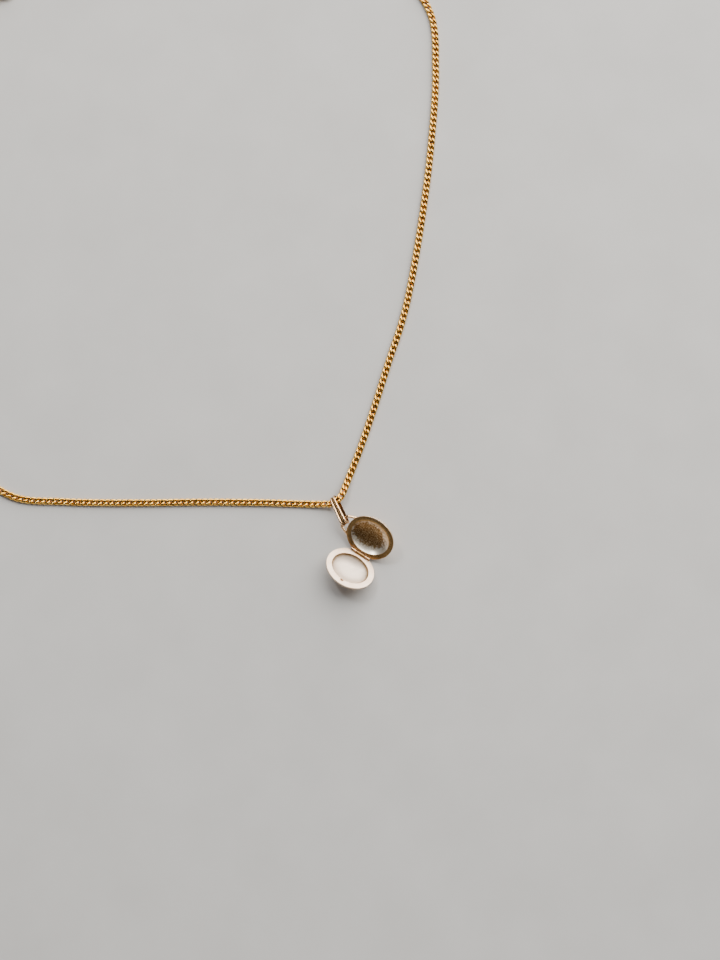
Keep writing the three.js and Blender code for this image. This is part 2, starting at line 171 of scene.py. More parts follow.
def place_camera():
    data = bpy.data.cameras.new("camera")
    data.lens = CAMERA_LENS
    camera = link_to_scene(bpy.data.objects.new("camera", data))
    away = Vector((0, -math.sin(CAMERA_TILT), math.cos(CAMERA_TILT)))
    camera.location = CAMERA_AIM + away * CAMERA_DISTANCE
    camera.rotation_euler = (CAMERA_TILT, 0, 0)
    bpy.context.scene.camera = camera


place_camera()

# ---- the chain's two arms, from the bail to the clasp ----
LEFT_ARM = [
    (-6.35, 11.19, 1.54), (-7.26, 10.70, 1.38), (-8.43, 10.61, 1.18), (-10.64, 10.61, 0.80),
    (-13.04, 10.65, 0.56), (-15.44, 10.72, 0.50), (-26.04, 11.07, 0.50), (-42.54, 11.20, 0.50),
    (-60.24, 11.01, 0.50), (-78.24, 11.31, 0.50), (-92.24, 12.61, 0.50), (-100.24, 18.41, 0.50),
    (-103.84, 28.41, 0.50), (-104.44, 44.41, 0.50), (-103.84, 62.41, 0.50), (-103.94, 82.41, 0.50),
    (-104.84, 102.41, 0.50), (-105.24, 120.41, 0.50), (-104.84, 136.41, 0.50),
    (-102.84, 145.01, 0.50), (-101.14, 147.41, 0.50),
]
RIGHT_ARM = [
    (-5.98, 11.45, 1.73), (-5.28, 12.15, 1.84), (-4.70, 13.18, 1.84), (-4.22, 14.45, 1.50),
    (-3.54, 16.21, 1.05), (-2.57, 18.78, 0.60), (-0.06, 25.31, 0.50), (3.58, 36.11, 0.50),
    (7.71, 49.31, 0.50), (11.26, 60.21, 0.50), (13.36, 69.01, 0.50), (16.96, 90.41, 0.50),
    (19.36, 110.41, 0.50), (20.56, 130.41, 0.50), (19.16, 146.41, 0.50), (11.76, 156.21, 0.50),
    (-1.24, 159.81, 0.50), (-20.24, 159.61, 0.50), (-42.24, 158.81, 0.50), (-62.24, 159.61, 0.50),
    (-80.24, 160.81, 0.50), (-89.64, 159.81, 0.50), (-93.44, 157.31, 0.50),
]
STEPS_PER_POINT = 24


def smooth_route(points):
    """A centripetal Catmull-Rom line through the points, kept clear of the surface, in metres."""
    knots = [Vector(point) for point in points]
    knots = [2 * knots[0] - knots[1], *knots, 2 * knots[-1] - knots[-2]]
    lowest = CHAIN_THICKNESS / 2 + CHAIN_LIFT
    line = []
    for p0, p1, p2, p3 in zip(knots, knots[1:], knots[2:], knots[3:]):
        d0 = math.sqrt((p1 - p0).length)
        d1 = math.sqrt((p2 - p1).length)
        d2 = math.sqrt((p3 - p2).length)
        leave = ((p1 - p0) / d0 - (p2 - p0) / (d0 + d1) + (p2 - p1) / d1) * d1
        arrive = ((p2 - p1) / d1 - (p3 - p1) / (d1 + d2) + (p3 - p2) / d2) * d1
        for step in range(STEPS_PER_POINT):
            t = step / STEPS_PER_POINT
            point = (
                p1 * (2 * t**3 - 3 * t**2 + 1)
                + leave * (t**3 - 2 * t**2 + t)
                + p2 * (3 * t**2 - 2 * t**3)
                + arrive * (t**3 - t**2)
            )
            line.append(point)
    line.append(knots[-2])
    return [Vector((p.x, p.y, max(p.z, lowest))) * MM for p in line]


# ---- finishes ----
TARNISH = (0.20, 0.09, 0.035)
PIP_TARNISH = 0.62         # how far the metal round the pip has gone dark, in millimetres


def wire(tree, source, output, node, name):
    """Joins an output of one node to an input of another."""
    tree.links.new(source.outputs[output], node.inputs[name])


def noise(tree, mapping, scale, detail=3.0, roughness=0.55):
    node = tree.nodes.new("ShaderNodeTexNoise")
    node.inputs["Scale"].default_value = scale
    node.inputs["Detail"].default_value = detail
    node.inputs["Roughness"].default_value = roughness
    wire(tree, mapping, "Vector", node, "Vector")
    return node


def ramp(tree, source, output, stops):
    node = tree.nodes.new("ShaderNodeValToRGB")
    elements = node.color_ramp.elements
    while len(elements) < len(stops):
        elements.new(0.5)
    for element, (place, colour) in zip(elements, stops):
        element.position = place
        element.color = (*colour, 1.0)
    wire(tree, source, output, node, "Fac")
    return node


def spread(tree, source, output, low, high, start=0.0, end=1.0):
    node = tree.nodes.new("ShaderNodeMapRange")
    node.inputs["From Min"].default_value = start
    node.inputs["From Max"].default_value = end
    node.inputs["To Min"].default_value = low
    node.inputs["To Max"].default_value = high
    wire(tree, source, output, node, "Value")
    return node


def in_millimetres(tree, stretch=(1, 1, 1), turn=(0, 0, 0)):
    coordinates = tree.nodes.new("ShaderNodeTexCoord")
    mapping = tree.nodes.new("ShaderNodeMapping")
    mapping.inputs["Scale"].default_value = [share / MM for share in stretch]
    mapping.inputs["Rotation"].default_value = turn
    wire(tree, coordinates, "Object", mapping, "Vector")
    return mapping


def bump(tree, source, output, height_mm, below=None):
    node = tree.nodes.new("ShaderNodeBump")
    node.inputs["Distance"].default_value = height_mm * MM
    node.inputs["Strength"].default_value = 1.0
    wire(tree, source, output, node, "Height")
    if below:
        wire(tree, below, "Normal", node, "Normal")
    return node


def new_material(name):
    material = bpy.data.materials.new(name)
    material.use_nodes = True
    tree = material.node_tree
    shader = next(node for node in tree.nodes if node.type == "BSDF_PRINCIPLED")
    shader.inputs["Metallic"].default_value = 1.0
    return material, tree, shader


def polished_gold(
    name, bright, toned, smoothest, roughest, patch=0.9, scratches=0.0015, metal=1.0, spot_at=None,
):
    """Worn metal: soft patches of tone, uneven polish, fine rubbed scratches and a slight ripple."""
    material, tree, shader = new_material(name)
    shader.inputs["Metallic"].default_value = metal
    plain = in_millimetres(tree)
    patches = noise(tree, plain, 1 / patch, 4.0)
    tones = ramp(tree, patches, "Fac", [(0.34, toned), (0.62, bright)])
    wire(tree, tones, "Color", shader, "Base Color")
    if spot_at is not None:
        spot = tarnish_near(tree, spot_at)
        colour = mixed(tree, spot, "Result", tones.outputs["Color"], TARNISH)
        tree.links.new(colour, shader.inputs["Base Color"])
    handling = noise(tree, plain, 3.1 / patch, 5.0, 0.65)
    polish = spread(tree, handling, "Fac", smoothest, roughest, 0.30, 0.72)
    wire(tree, polish, "Result", shader, "Roughness")
    rubbed = in_millimetres(tree, (1.2, 22.0, 22.0), (0.2, 0.5, 0.6))
    hairlines = noise(tree, rubbed, 1.0, 2.0)
    fine = bump(tree, hairlines, "Fac", scratches)
    ripple = noise(tree, plain, 1.3, 1.0)
    broad = bump(tree, ripple, "Fac", 4 * scratches, fine)
    wire(tree, broad, "Normal", shader, "Normal")
    return material


def well_reach(tree, centre, turn, rim_width, ragged=0.0, stretch=(1.0, 1.0)):
    """How far a point is from the well's middle: 0 there and 1 at the well's edge."""
    coordinates = tree.nodes.new("ShaderNodeTexCoord")
    oval = tree.nodes.new("ShaderNodeMapping")
    oval.vector_type = "TEXTURE"
    oval.inputs["Location"].default_value = centre
    oval.inputs["Rotation"].default_value = turn
    reach_x = (HALF_LENGTH - rim_width) * stretch[0] * MM
    reach_y = (HALF_WIDTH - rim_width) * stretch[1] * MM
    oval.inputs["Scale"].default_value = (reach_x, reach_y, 1.0)
    wire(tree, coordinates, "Object", oval, "Vector")
    flat = tree.nodes.new("ShaderNodeVectorMath")
    flat.operation = "MULTIPLY"
    flat.inputs[1].default_value = (1, 1, 0)
    wire(tree, oval, "Vector", flat, 0)
    reach = tree.nodes.new("ShaderNodeVectorMath")
    reach.operation = "LENGTH"
    wire(tree, flat, "Vector", reach, 0)
    edge_noise = noise(tree, in_millimetres(tree), 1.4, 4.0)
    shift = spread(tree, edge_noise, "Fac", -ragged, ragged, 0.25, 0.75)
    total = tree.nodes.new("ShaderNodeMath")
    total.operation = "ADD"
    wire(tree, reach, "Value", total, 0)
    wire(tree, shift, "Result", total, 1)
    return total


def mixed(tree, share, output, first, second):
    """A colour between two, each of them a colour or a node's output."""
    node = tree.nodes.new("ShaderNodeMix")
    node.data_type = "RGBA"
    wire(tree, share, output, node, "Factor")
    for place, colour in ((6, first), (7, second)):
        if isinstance(colour, tuple):
            node.inputs[place].default_value = (*colour, 1.0)
        else:
            tree.links.new(colour, node.inputs[place])
    return node.outputs[2]


def speckled_well_painted_light(name, half, bright, painted_dark_floor, pale):
    """The back half's well: a polished wall in a pale colour that is painted highlight, round a speckled
    floor whose dark tone is painted dark reflection.
    """
    material, tree, shader = new_material(name)
    plain = in_millimetres(tree)
    centre = half @ Vector((-0.8, HINGE_TO_CENTRE + 0.2, 0)) * MM
    reach = well_reach(tree, centre, half.to_euler(), BACK_RIM_WIDTH, ragged=0.16, stretch=(1.30, 1.05))
    floor = spread(tree, reach, "Value", 1.0, 0.0, 0.60, 0.78)
    grain = noise(tree, plain, 3.4, 6.0, 0.72)
    lighter = tuple(2.0 * share for share in painted_dark_floor)
    speckle = ramp(tree, grain, "Fac", [(0.44, painted_dark_floor), (0.54, lighter), (0.66, pale)])
    # pale wall colour: painted highlight for the bright crescents; dark floor tone: painted dark
    # reflection, with real speckle and pits on it
    colour = mixed(tree, floor, "Result", bright, speckle.outputs["Color"])
    tree.links.new(colour, shader.inputs["Base Color"])
    rough = spread(tree, floor, "Result", 0.30, 0.46)
    wire(tree, rough, "Result", shader, "Roughness")
    metal = spread(tree, floor, "Result", 0.85, 1.0)
    wire(tree, metal, "Result", shader, "Metallic")
    pits = bump(tree, grain, "Fac", 0.08)
    wire(tree, floor, "Result", pits, "Strength")
    wire(tree, pits, "Normal", shader, "Normal")
    return material


def tarnish_near(tree, point):
    """1 at a point of the piece and 0 a little way off."""
    coordinates = tree.nodes.new("ShaderNodeTexCoord")
    away = tree.nodes.new("ShaderNodeVectorMath")
    away.operation = "DISTANCE"
    away.inputs[1].default_value = point
    wire(tree, coordinates, "Object", away, 0)
    return spread(tree, away, "Value", 1.0, 0.0, 0.7 * PIP_TARNISH * MM, PIP_TARNISH * MM)


def edge_shaded_well(name, half, bright, toned):
    """The front half's well: pale satin, with painted shade round its edge in the corner under the rim, and
    tarnish round the pip.
    """
    material, tree, shader = new_material(name)
    centre = half @ Vector((0, HINGE_TO_CENTRE, 0)) * MM
    reach = well_reach(tree, centre, half.to_euler(), FRONT_RIM_WIDTH, ragged=0.03)
    # painted shade: the toned colour darkens the well's edge where the rim overhangs it
    edge = spread(tree, reach, "Value", 0.0, 1.0, 0.84, 0.97)
    body = mixed(tree, edge, "Result", bright, toned)
    spot = tarnish_near(tree, half @ PIP_AT * MM)
    tree.links.new(mixed(tree, spot, "Result", body, TARNISH), shader.inputs["Base Color"])
    handling = noise(tree, in_millimetres(tree), 1.2, 4.0)
    polish = spread(tree, handling, "Fac", 0.40, 0.52, 0.3, 0.7)
    wire(tree, polish, "Result", shader, "Roughness")
    shader.inputs["Metallic"].default_value = 0.62
    return material


def floor_finish():
    material, tree, shader = new_material("plain_floor")
    shader.inputs["Metallic"].default_value = 0.0
    grain = noise(tree, in_millimetres(tree), 0.05, 3.0)
    tones = ramp(tree, grain, "Fac", [(0.3, (0.55, 0.54, 0.52)), (0.7, (0.59, 0.58, 0.56))])
    wire(tree, tones, "Color", shader, "Base Color")
    shader.inputs["Roughness"].default_value = 0.75
    return material


ROSE = polished_gold(
    "rose_gold_polished", (0.80, 0.53, 0.30), (0.74, 0.47, 0.25), 0.12, 0.24, patch=1.8,
)
# a darker copy of the polished rose gold: painted dark reflection on faces that mirror dim surroundings
DARK_REFLECTION_ROSE = polished_gold(
    "rose_gold_painted_dark_reflection", (0.56, 0.33, 0.13), (0.45, 0.25, 0.09), 0.24, 0.38, patch=0.8, scratches=0.002,
)
YELLOW = polished_gold(
    "yellow_gold_bright", (0.90, 0.56, 0.14), (0.68, 0.34, 0.05), 0.10, 0.20, patch=1.1, scratches=0.001,
)
PIP_BROWN = polished_gold(
    "tarnished_pip", (0.24, 0.10, 0.035), (0.12, 0.05, 0.02), 0.30, 0.50, patch=0.2, scratches=0.003,
)
LIP_HIGHLIGHT_ROSE = polished_gold(      # painted highlight: pale where the lip stands out of the rim's shade and catches the window
    "rose_gold_painted_highlight", (0.98, 0.80, 0.64), (0.90, 0.66, 0.46), 0.20, 0.32, scratches=0.001, metal=0.8,
)
GROOVE_SHADE = polished_gold(        # painted shade: a dark tone between the bail's ridges
    "rose_gold_painted_groove_shade", (0.30, 0.18, 0.08), (0.18, 0.10, 0.04), 0.28, 0.42, patch=0.8, scratches=0.001,
)
SPRING_STEEL = polished_gold(
    "drawn_spring_wire", (0.66, 0.66, 0.64), (0.50, 0.50, 0.49), 0.20, 0.34, patch=0.5,
)


# ---- meshes, in millimetres until they are put in place ----
def mesh_from(vertices, faces, name="working"):
    mesh = bpy.data.meshes.new(name)
    mesh.from_pydata([tuple(v) for v in vertices], [], faces)
    mesh.validate()
    return mesh


def tidy_normals(mesh):
    shape = bmesh.new()
    shape.from_mesh(mesh)
    bmesh.ops.remove_doubles(shape, verts=shape.verts, dist=1e-5)
    bmesh.ops.recalc_face_normals(shape, faces=shape.faces)
    shape.to_mesh(mesh)
    shape.free()
    return mesh


def evaluated_copy(obj):
    """A plain mesh of the object with its modifiers, and the object removed."""
    graph = bpy.context.evaluated_depsgraph_get()
    mesh = bpy.data.meshes.new_from_object(obj.evaluated_get(graph), depsgraph=graph)
    bpy.data.objects.remove(obj)
    return mesh


def combined(mesh, tool, operation):
    """The mesh joined to a tool mesh, or cut by it."""
    base = link_to_scene(bpy.data.objects.new("base", mesh))
    other = link_to_scene(bpy.data.objects.new("tool", tool))
    step = base.modifiers.new("join", "BOOLEAN")
    step.operation = operation
    step.solver = "EXACT"
    step.object = other
    result = evaluated_copy(base)
    bpy.data.objects.remove(other)
    return result


def bevelled(mesh, width):
    obj = link_to_scene(bpy.data.objects.new("bevel", mesh))
    step = obj.modifiers.new("round", "BEVEL")
    step.width = width
    step.segments = 3
    step.limit_method = "ANGLE"
    step.angle_limit = SHARP_EDGE
    step.use_clamp_overlap = True
    return evaluated_copy(obj)


def placed(name, mesh, matrix, material, body, stands_for):
    """Makes a finished piece: in metres in the shared frame, smooth but for its real edges."""
    tidy_normals(mesh)
    mesh.transform(Matrix.Scale(MM, 4) @ matrix)
    mesh.name = name
    mesh.materials.clear()
    mesh.materials.append(material)
    mesh.shade_smooth()
    mesh.set_sharp_from_angle(angle=SHARP_EDGE)
    piece = link_to_scene(bpy.data.objects.new(name, mesh))
    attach(piece, body)
    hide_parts(stands_for)
    return piece


def box_mesh(low, high):
    corners = list(product(*zip(low, high)))
    faces = [(0, 1, 3, 2), (4, 6, 7, 5), (0, 4, 5, 1), (2, 3, 7, 6), (0, 2, 6, 4), (1, 5, 7, 3)]
    return tidy_normals(mesh_from(corners, faces))


def loft(rings, closed_path=False):
    """Skins a row of equal rings of points, with caps at its ends unless the row closes."""
    count = len(rings[0])
    vertices = [point for ring in rings for point in ring]
    faces = []
    spans = len(rings) if closed_path else len(rings) - 1
    for i in range(spans):
        a = i * count
        b = (i + 1) % len(rings) * count
        for j in range(count):
            k = (j + 1) % count
            faces.append((a + j, a + k, b + k, b + j))
    if not closed_path:
        faces.append(tuple(range(count))[::-1])
        faces.append(tuple((len(rings) - 1) * count + j for j in range(count)))
    return tidy_normals(mesh_from(vertices, faces))


def circle(radius, sides):
    angles = [math.tau * i / sides for i in range(sides)]
    return [(radius * math.cos(angle), radius * math.sin(angle)) for angle in angles]


def sweep(path, section, closed=False):
    """Carries a section along a path without twisting it."""
    points = [Vector(p) for p in path]
    last = len(points) - 1
    rings = []
    side = None
    for i, point in enumerate(points):
        before = points[i - 1] if i or closed else points[0]
        after = points[(i + 1) % len(points)] if i < last or closed else points[last]
        along = (after - before).normalized()
        if side is None:
            guess = Vector((0, 0, 1)) if abs(along.z) < 0.9 else Vector((1, 0, 0))
            side = guess.cross(along).normalized()
        side = (side - along * side.dot(along)).normalized()
        up = along.cross(side)
        rings.append([point + side * x + up * y for x, y in section])
    return loft(rings, closed_path=closed)


def lathe(profile, segments=128):
    """Turns a profile of (radius, height) points about Z; it starts and ends on the axis."""
    vertices = [(0, 0, profile[0][1]), (0, 0, profile[-1][1])]
    middle = profile[1:-1]
    for i in range(segments):
        angle = math.tau * i / segments
        vertices += [(r * math.cos(angle), r * math.sin(angle), z) for r, z in middle]
    count = len(middle)
    faces = []
    for i in range(segments):
        a = 2 + i * count
        b = 2 + (i + 1) % segments * count
        faces.append((0, a, b))
        faces.append((1, b + count - 1, a + count - 1))
        faces += [(a + j, a + j + 1, b + j + 1, b + j) for j in range(count - 1)]
    return tidy_normals(mesh_from(vertices, faces))


# ---- where the pieces stand ----
HINGE_AT = Vector(JOINTS["locket_hinge"]["pos_m"]) / MM
HINGE_AXIS = Vector(JOINTS["locket_hinge"]["axis"]).normalized()


def half_matrix(along, face):
    """Local X runs along the hinge, Y out from it and Z out of the open face."""
    face = face.normalized()
    out = face.cross(along).normalized()
    matrix = Matrix((along, out, face)).transposed().to_4x4()
    matrix.translation = HINGE_AT
    return matrix


FRONT = half_matrix(HINGE_AXIS, Vector(MOUNTS["front_rim_face"]["axis"]))
BACK = half_matrix(-HINGE_AXIS, Vector(MOUNTS["back_rim_face"]["axis"]))


def bail_matrix():
    """Local X runs from the chain's eye to the bow's, Y across the strap and Z out of its face."""
    heading = math.radians(BAIL_HEADING)
    climb = math.radians(BAIL_CLIMB)
    roll = math.radians(BAIL_ROLL)
    flat = math.cos(climb)
    along = Vector((math.cos(heading) * flat, math.sin(heading) * flat, math.sin(climb)))
    level = Vector((-math.sin(heading), math.cos(heading), 0))
    across = level * math.cos(roll) + along.cross(level) * math.sin(roll)
    matrix = Matrix((along, across, along.cross(across))).transposed().to_4x4()
    matrix.translation = Vector(JOINTS["locket_swing"]["pos_m"]) / MM - along * BAIL_LENGTH
    return matrix


# ---- the chain's links ----
def node_in(tree, kind, values=None, **settings):
    node = tree.nodes.new(kind)
    for key, value in settings.items():
        setattr(node, key, value)
    for key, value in (values or {}).items():
        node.inputs[key].default_value = value
    return node


def maths(tree, operation, first, second=None):
    node = node_in(tree, "ShaderNodeMath", operation=operation)
    for place, value in enumerate((first, second)):
        if value is None:
            continue
        if isinstance(value, (int, float)):
            node.inputs[place].default_value = value
        else:
            tree.links.new(value, node.inputs[place])
    return node.outputs[0]


CHAIN_INPUTS = [
    ("Pitch", LINK_PITCH), ("Link Width", CHAIN_WIDTH), ("Wire", LINK_WIRE),
    ("Twist", LINK_TWIST), ("Filed Thickness", LINK_FILED), ("Roll At Bail", 0.0), ("Roll Reach", 9.0),
]


def link_shape(tree, values):
    """One twisted link: its wire passes over one neighbour and under the other at each end."""
    ring = node_in(tree, "GeometryNodeCurvePrimitiveCircle", {"Resolution": 16, "Radius": 1.0})
    turn = maths(tree, "MULTIPLY", node_in(tree, "GeometryNodeSplineParameter").outputs["Factor"], math.tau)
    half_length = maths(tree, "MULTIPLY", maths(tree, "ADD", values["Pitch"], values["Wire"]), 0.5)
    half_width = maths(tree, "MULTIPLY", maths(tree, "SUBTRACT", values["Link Width"], values["Wire"]), 0.5)
    x = maths(tree, "MULTIPLY", maths(tree, "COSINE", turn), half_length)
    y = maths(tree, "MULTIPLY", maths(tree, "SINE", turn), half_width)
    double = maths(tree, "SINE", maths(tree, "MULTIPLY", turn, 2.0))
    z = maths(tree, "MULTIPLY", maths(tree, "MULTIPLY", double, values["Twist"]), -1.0)
    position = node_in(tree, "ShaderNodeCombineXYZ")
    for place, value in enumerate((x, y, z)):
        tree.links.new(value, position.inputs[place])
    bend = node_in(tree, "GeometryNodeSetPosition")
    wire(tree, ring, "Curve", bend, "Geometry")
    wire(tree, position, 0, bend, "Position")
    section = node_in(tree, "GeometryNodeCurvePrimitiveCircle", {"Resolution": 6})
    tree.links.new(maths(tree, "MULTIPLY", values["Wire"], 0.5), section.inputs["Radius"])
    skin = node_in(tree, "GeometryNodeCurveToMesh")
    wire(tree, bend, "Geometry", skin, "Curve")
    wire(tree, section, "Curve", skin, "Profile Curve")
    place = node_in(tree, "ShaderNodeSeparateXYZ")
    tree.links.new(node_in(tree, "GeometryNodeInputPosition").outputs[0], place.inputs[0])
    limit = maths(tree, "MULTIPLY", values["Filed Thickness"], 0.5)
    height = maths(tree, "MINIMUM", place.outputs[2], limit)
    height = maths(tree, "MAXIMUM", height, maths(tree, "MULTIPLY", limit, -1.0))
    filed = node_in(tree, "ShaderNodeCombineXYZ")
    wire(tree, place, 0, filed, 0)
    wire(tree, place, 1, filed, 1)
    tree.links.new(height, filed.inputs[2])
    file = node_in(tree, "GeometryNodeSetPosition")
    wire(tree, skin, "Mesh", file, "Geometry")
    wire(tree, filed, 0, file, "Position")
    return file.outputs["Geometry"]


def curb_chain_tree():
    tree = bpy.data.node_groups.new("curb_chain", "GeometryNodeTree")
    tree.interface.new_socket("Geometry", in_out="INPUT", socket_type="NodeSocketGeometry")
    for name, value in CHAIN_INPUTS:
        socket = tree.interface.new_socket(name, in_out="INPUT", socket_type="NodeSocketFloat")
        socket.default_value = value
    tree.interface.new_socket("Material", in_out="INPUT", socket_type="NodeSocketMaterial")
    tree.interface.new_socket("Geometry", in_out="OUTPUT", socket_type="NodeSocketGeometry")
    start = node_in(tree, "NodeGroupInput")
    values = {name: start.outputs[name] for name, _ in CHAIN_INPUTS}
    line = node_in(tree, "GeometryNodeMeshToCurve")
    wire(tree, start, "Geometry", line, "Mesh")
    even = node_in(tree, "GeometryNodeResampleCurve", mode="LENGTH")
    wire(tree, line, "Curve", even, "Curve")
    tree.links.new(values["Pitch"], even.inputs["Length"])
    points = node_in(tree, "GeometryNodeCurveToPoints", mode="EVALUATED")
    wire(tree, even, "Curve", points, "Curve")
    stand = node_in(tree, "FunctionNodeAxesToRotation", primary_axis="X", secondary_axis="Z")
    wire(tree, points, "Tangent", stand, 0)
    stand.inputs[1].default_value = (0, 0, 1)
    index = node_in(tree, "GeometryNodeInputIndex").outputs[0]
    along = maths(tree, "MULTIPLY", index, values["Pitch"])
    left = maths(tree, "SUBTRACT", 1.0, maths(tree, "DIVIDE", along, values["Roll Reach"]))
    roll = maths(tree, "MULTIPLY", maths(tree, "MAXIMUM", left, 0.0), values["Roll At Bail"])
    lean = node_in(tree, "FunctionNodeAxisAngleToRotation")
    lean.inputs[0].default_value = (1, 0, 0)
    tree.links.new(roll, lean.inputs[1])
    turned = node_in(tree, "FunctionNodeRotateRotation", rotation_space="LOCAL")
    wire(tree, stand, 0, turned, 0)
    wire(tree, lean, 0, turned, 1)
    copies = node_in(tree, "GeometryNodeInstanceOnPoints")
    wire(tree, points, "Points", copies, "Points")
    tree.links.new(link_shape(tree, values), copies.inputs["Instance"])
    wire(tree, turned, 0, copies, "Rotation")
    real = node_in(tree, "GeometryNodeRealizeInstances")
    wire(tree, copies, "Instances", real, "Geometry")
    finish = node_in(tree, "GeometryNodeSetMaterial")
    wire(tree, real, "Geometry", finish, "Geometry")
    wire(tree, start, "Material", finish, "Material")
    end = node_in(tree, "NodeGroupOutput")
    wire(tree, finish, "Geometry", end, "Geometry")
    return tree


CHAIN_TREE = curb_chain_tree()


def chain_arm(name, points, stands_for, roll):
    """The links of one arm, as a plain mesh on its route. The first link leans by roll, in degrees."""
    route = smooth_route(points)
    line = bpy.data.meshes.new(name + "_line")
    line.from_pydata([tuple(p / MM) for p in route], [(i, i + 1) for i in range(len(route) - 1)], [])
    carrier = link_to_scene(bpy.data.objects.new(name + "_line", line))
    step = carrier.modifiers.new("links", "NODES")
    step.node_group = CHAIN_TREE
    wanted = {"Roll At Bail": math.radians(roll), "Material": YELLOW}
    for item in CHAIN_TREE.interface.items_tree:
        if item.in_out == "INPUT" and item.name in wanted:
            step[item.identifier] = wanted[item.name]
    links = evaluated_copy(carrier)
    links.transform(Matrix.Scale(MM, 4))
    links.name = name
    links.shade_smooth()
    piece = link_to_scene(bpy.data.objects.new(name, links))
    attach(piece, "chain")
    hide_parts(stands_for)
    length = sum((b - a).length for a, b in zip(route, route[1:]))
    return piece, route, length


left_chain, left_route, left_length = chain_arm(
    "curb_links_left", LEFT_ARM, "chain_left", roll=30,
)
right_chain, right_route, right_length = chain_arm(
    "curb_links_right", RIGHT_ARM, "chain_right", roll=0,
)


# ---- the locket ----
def make_oval(mesh, rim_width):
    """Narrows a round dish to the oval, with a rim of the same width all the way round."""
    narrowing = HALF_LENGTH - HALF_WIDTH
    inner = HALF_LENGTH - rim_width
    for vertex in mesh.vertices:
        radius = math.hypot(vertex.co.x, vertex.co.y)
        if radius < inner:
            vertex.co.y *= (inner - narrowing) / inner
        else:
            vertex.co.y *= (radius - narrowing) / radius
    return mesh


def notch_tool():
    return box_mesh((-NOTCH_HALF, -HINGE_INSET - 1, -DOME_DEPTH - 1), (NOTCH_HALF, NOTCH_EDGE, 1))


def shell(rim_width, steps=40, edge_round=0.07):
    inner = HALF_LENGTH - rim_width
    depth = DOME_DEPTH - SHEET
    profile = []
    for i in range(steps + 1):
        share = i / steps
        height = -DOME_DEPTH + (DOME_DEPTH + FLANGE_BOTTOM) * share**OUTER_CURVE
        profile.append(((HALF_LENGTH - edge_round) * share, height))
    profile.append((HALF_LENGTH, FLANGE_BOTTOM + edge_round))
    profile.append((HALF_LENGTH, FLANGE_TOP - edge_round))
    profile.append((HALF_LENGTH - edge_round, FLANGE_TOP))
    for i in range(steps, -1, -1):
        share = i / steps
        profile.append((inner * share, -depth + (depth + FLANGE_TOP) * share**INNER_CURVE))
    dish = make_oval(lathe(profile), rim_width)
    dish.transform(Matrix.Translation((0, HINGE_TO_CENTRE, 0)))
    return combined(dish, notch_tool(), "DIFFERENCE")


def oval_point(offset, angle, height):
    return Vector((
        (HALF_LENGTH + offset) * math.cos(angle),
        HINGE_TO_CENTRE + (HALF_WIDTH + offset) * math.sin(angle),
        height,
    ))


def rim_plate(rim_width, notch_for_pip, segments=144, rounding=0.08):
    corners = ((0, RIM_BOTTOM), (0, RIM_TOP), (-rim_width, RIM_TOP), (-rim_width, RIM_BOTTOM))
    rings = []
    for i in range(segments):
        angle = math.tau * i / segments
        rings.append([oval_point(offset, angle, height) for offset, height in corners])
    plate = combined(loft(rings, closed_path=True), notch_tool(), "DIFFERENCE")
    if notch_for_pip:
        bite = sweep([(0, 0, -1.5), (0, 0, 1.5)], circle(PIP_NOTCH, 32))
        bite.transform(Matrix.Translation((0, PIP_AT.y - PIP_SET, RIM_BOTTOM)))
        plate = combined(plate, bite, "DIFFERENCE")
    return bevelled(plate, rounding)


def catch_pip():
    dome = [(0, -PIP_RADIUS)]
    steps = 16
    for i in range(1, steps):
        angle = math.pi * i / steps - math.pi / 2
        dome.append((PIP_RADIUS * math.cos(angle), PIP_RADIUS * math.sin(angle)))
    dome.append((0, PIP_RADIUS))
    bead = lathe(dome, 32)
    bead.transform(Matrix.Translation(PIP_AT))
    return bead


def knuckle(start, end, chamfer=0.05):
    """A barrel round the pin with the leaf that holds it to its half."""
    full = KNUCKLE_RADIUS
    bore = PIN_RADIUS + RUNNING_GAP
    profile = [
        (start, bore), (start, full - chamfer), (start + chamfer, full),
        (end - chamfer, full), (end, full - chamfer), (end, bore),
    ]
    sides = 48
    rings = []
    for i in range(sides):
        angle = math.tau * i / sides
        rings.append([Vector((x, r * math.cos(angle), r * math.sin(angle))) for x, r in profile])
    barrel = loft(rings, closed_path=True)
    leaf = box_mesh(
        (start, PIN_RADIUS + 2 * RUNNING_GAP, -KNUCKLE_RADIUS),
        (end, NOTCH_EDGE - SOLDER_GAP, -KNUCKLE_RADIUS + LEAF_THICKNESS),
    )
    return combined(barrel, leaf, "UNION")


def hinge_pin():
    end = MIDDLE_KNUCKLE / 2 + KNUCKLE_GAP + OUTER_KNUCKLE
    round_off = 0.04
    profile = [
        (0, -end), (PIN_RADIUS - round_off, -end), (PIN_RADIUS, -end + round_off),
        (PIN_RADIUS, end - round_off), (PIN_RADIUS - round_off, end), (0, end),
    ]
    rod = lathe(profile, 32)
    rod.transform(Matrix.Rotation(math.pi / 2, 4, "Y"))
    return rod


def snap_lip(steps=28, rounding=0.05):
    half = math.acos(LIP_CHORD / 2 / HALF_LENGTH)
    near = LIP_CLEARANCE
    far = near + LIP_THICKNESS
    corners = ((near, -LIP_DROP), (far, -LIP_DROP), (far, LIP_RISE), (near, LIP_RISE))
    rings = []
    for i in range(steps + 1):
        angle = half + (math.pi - 2 * half) * i / steps
        rings.append([oval_point(offset, angle, height) for offset, height in corners])
    return bevelled(loft(rings), rounding)


def rounded_path(points, radius, steps=10):
    points = [Vector(p) for p in points]
    path = [points[0]]
    for before, corner, after in zip(points, points[1:], points[2:]):
        enter = corner + (before - corner).normalized() * radius
        leave = corner + (after - corner).normalized() * radius
        for i in range(steps + 1):
            t = i / steps
            path.append(enter * (1 - t) ** 2 + corner * 2 * t * (1 - t) + leave * t**2)
    path.append(points[-1])
    return path


